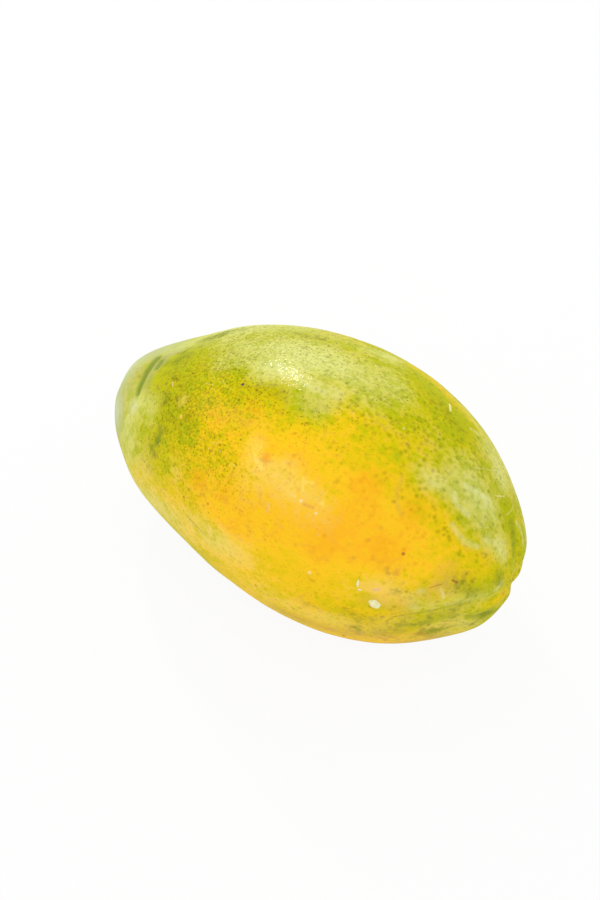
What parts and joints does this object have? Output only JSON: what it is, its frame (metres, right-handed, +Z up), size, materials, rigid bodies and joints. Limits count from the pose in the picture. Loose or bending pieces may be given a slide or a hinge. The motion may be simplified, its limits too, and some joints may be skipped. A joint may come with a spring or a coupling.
{
  "type": "papaya",
  "caption": "Whole ripe oval papaya lying on its side, with a lobed blossom end, a cut stub in the stem socket and a small flat spot to rest on.",
  "frame": {"origin": "middle of the fruit's box at the height of the flat spot that it rests on", "axes": "+X along the fruit from the stem end to the blossom end, +Y across it, +Z up"},
  "size_m": [0.2154, 0.1276, 0.1265],
  "materials": {
    "skin": "satin"
  },
  "bodies": {
    "root": {"papaya": "skin"}
  },
  "joints": []
}
